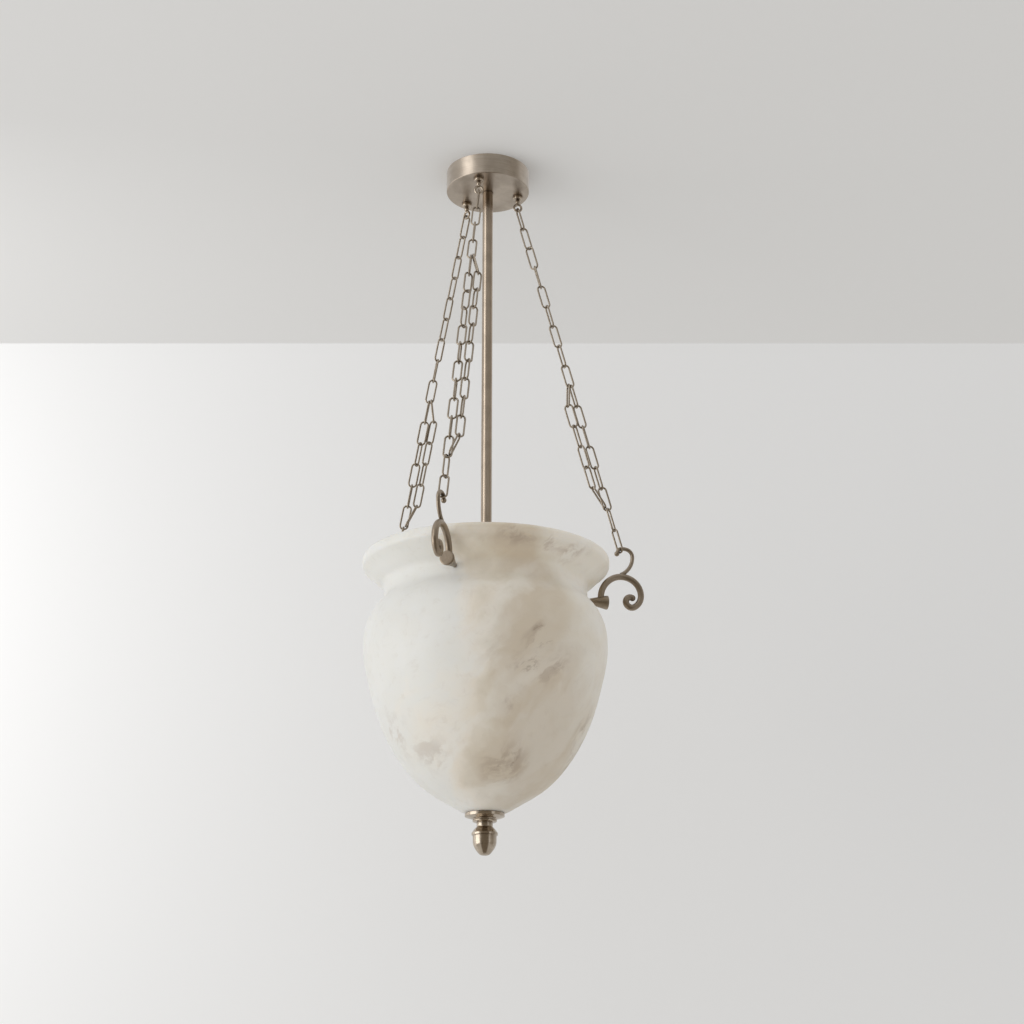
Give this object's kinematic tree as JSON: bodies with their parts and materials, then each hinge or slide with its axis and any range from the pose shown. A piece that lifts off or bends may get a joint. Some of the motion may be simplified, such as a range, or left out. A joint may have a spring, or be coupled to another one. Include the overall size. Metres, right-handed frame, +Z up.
{
  "type": "urn pendant light",
  "caption": "Turned alabaster urn shade hung by chains and scroll brackets from a round ceiling canopy, around a centre rod that carries the lampholder and bulb.",
  "frame": {"origin": "centre of the two ceiling screw slots, in the plane of the ceiling", "axes": "+Z up into the ceiling along the rod, -Y towards the side seen in the picture, +X to its right"},
  "size_m": [0.3585, 0.3568, 0.9234],
  "materials": {
    "antique_nickel": "polished antique nickel plate, warm",
    "zinc_steel": "zinc plated",
    "bare_brass": "bare",
    "bulb_screw_cap": "rolled, satin",
    "white_plastic": "moulded",
    "white_porcelain": "unglazed",
    "black_insulator": "vitrite",
    "opal_glass": "opal",
    "soft_pad": "soft",
    "alabaster": "honed, cloudy veins"
  },
  "bodies": {
    "ceiling_fixture": {"canopy": "antique_nickel", "ceiling_bracket": "zinc_steel", "earth_screw": "bare_brass", "nipple_upper": "zinc_steel", "nipple_nuts": "zinc_steel", "canopy_washer": "zinc_steel", "terminal_block": "white_plastic", "eye_bolt_nuts": "zinc_steel", "eye_bolt_washers": "zinc_steel", "down_rod": "antique_nickel", "nipple_lower": "zinc_steel", "holder_cap": "antique_nickel", "holder_nut": "zinc_steel", "holder_shell": "antique_nickel", "holder_insert": "white_porcelain", "holder_contact": "bare_brass", "eye_bolt_front": "antique_nickel", "eye_bolt_rear": "antique_nickel", "eye_bolt_right": "antique_nickel"},
    "bulb": {"bulb_tip": "black_insulator", "bulb_cap": "bulb_screw_cap", "bulb_glass": "opal_glass"},
    "urn_hanging_stud": {"bottom_stud": "zinc_steel", "finial_flange": "antique_nickel"},
    "urn": {"urn_shell": "alabaster", "bracket_studs": "zinc_steel", "bracket_washers": "zinc_steel", "bracket_nuts": "zinc_steel", "bottom_pad": "soft_pad", "bottom_washer": "zinc_steel", "bottom_nut": "zinc_steel", "scroll_bracket_front": "antique_nickel", "scroll_bracket_rear": "antique_nickel", "scroll_bracket_right": "antique_nickel"},
    "acorn": {"acorn_finial": "antique_nickel"},
    "chain_top_front": {"chain_top_link_front": "antique_nickel"},
    "chain_run_front": {"chain_front": "antique_nickel", "chain_surplus_front": "antique_nickel"},
    "chain_top_rear": {"chain_top_link_rear": "antique_nickel"},
    "chain_run_rear": {"chain_rear": "antique_nickel", "chain_surplus_rear": "antique_nickel"},
    "chain_top_right": {"chain_top_link_right": "antique_nickel"},
    "chain_run_right": {"chain_right": "antique_nickel", "chain_surplus_right": "antique_nickel"}
  },
  "joints": [
    {"name": "bulb_turn", "type": "hinge", "parent": "ceiling_fixture", "child": "bulb", "pos_m": [0, 0, -0.64], "axis": [0, 0, 1], "range_deg": [-1080, 0]},
    {"name": "urn_sway", "type": "hinge", "parent": "ceiling_fixture", "child": "urn_hanging_stud", "pos_m": [0, 0, 0.09486], "axis": [0, 1, 0], "range_deg": [-3, 3]},
    {"name": "urn_twist", "type": "hinge", "parent": "urn_hanging_stud", "child": "urn", "pos_m": [0, 0, -0.597], "axis": [0, 0, 1], "range_deg": [-6, 6]},
    {"name": "acorn_turn", "type": "hinge", "parent": "urn_hanging_stud", "child": "acorn", "pos_m": [0, 0, -0.89], "axis": [0, 0, 1], "range_deg": [-1080, 0]},
    {"name": "chain_front_sway", "type": "hinge", "parent": "ceiling_fixture", "child": "chain_top_front", "pos_m": [-0.01158, -0.04037, -0.0513], "axis": [0, 1, 0], "range_deg": [-3.94, 3.94]},
    {"name": "chain_front_twist", "type": "hinge", "parent": "chain_top_front", "child": "chain_run_front", "pos_m": [-0.01158, -0.04037, -0.0513], "axis": [-0.0244, -0.0851, 0.9961], "range_deg": [-6.03, 6.03]},
    {"name": "chain_rear_sway", "type": "hinge", "parent": "ceiling_fixture", "child": "chain_top_rear", "pos_m": [-0.02918, 0.03021, -0.0513], "axis": [0, 1, 0], "range_deg": [-3.94, 3.94]},
    {"name": "chain_rear_twist", "type": "hinge", "parent": "chain_top_rear", "child": "chain_run_rear", "pos_m": [-0.02918, 0.03021, -0.0513], "axis": [-0.0615, 0.0637, 0.9961], "range_deg": [-6.03, 6.03]},
    {"name": "chain_right_sway", "type": "hinge", "parent": "ceiling_fixture", "child": "chain_top_right", "pos_m": [0.04075, 0.01016, -0.0513], "axis": [0, 1, 0], "range_deg": [-3.94, 3.94]},
    {"name": "chain_right_twist", "type": "hinge", "parent": "chain_top_right", "child": "chain_run_right", "pos_m": [0.04075, 0.01016, -0.0513], "axis": [0.0859, 0.0214, 0.9961], "range_deg": [-6.03, 6.03]}
  ],
  "couplings": [
    {"joint": "chain_front_sway", "follows": "urn_sway", "ratio": 1.3094},
    {"joint": "chain_front_twist", "follows": "urn_twist", "ratio": 1.0039},
    {"joint": "chain_rear_sway", "follows": "urn_sway", "ratio": 1.3094},
    {"joint": "chain_rear_twist", "follows": "urn_twist", "ratio": 1.0039},
    {"joint": "chain_right_sway", "follows": "urn_sway", "ratio": 1.3094},
    {"joint": "chain_right_twist", "follows": "urn_twist", "ratio": 1.0039}
  ]
}
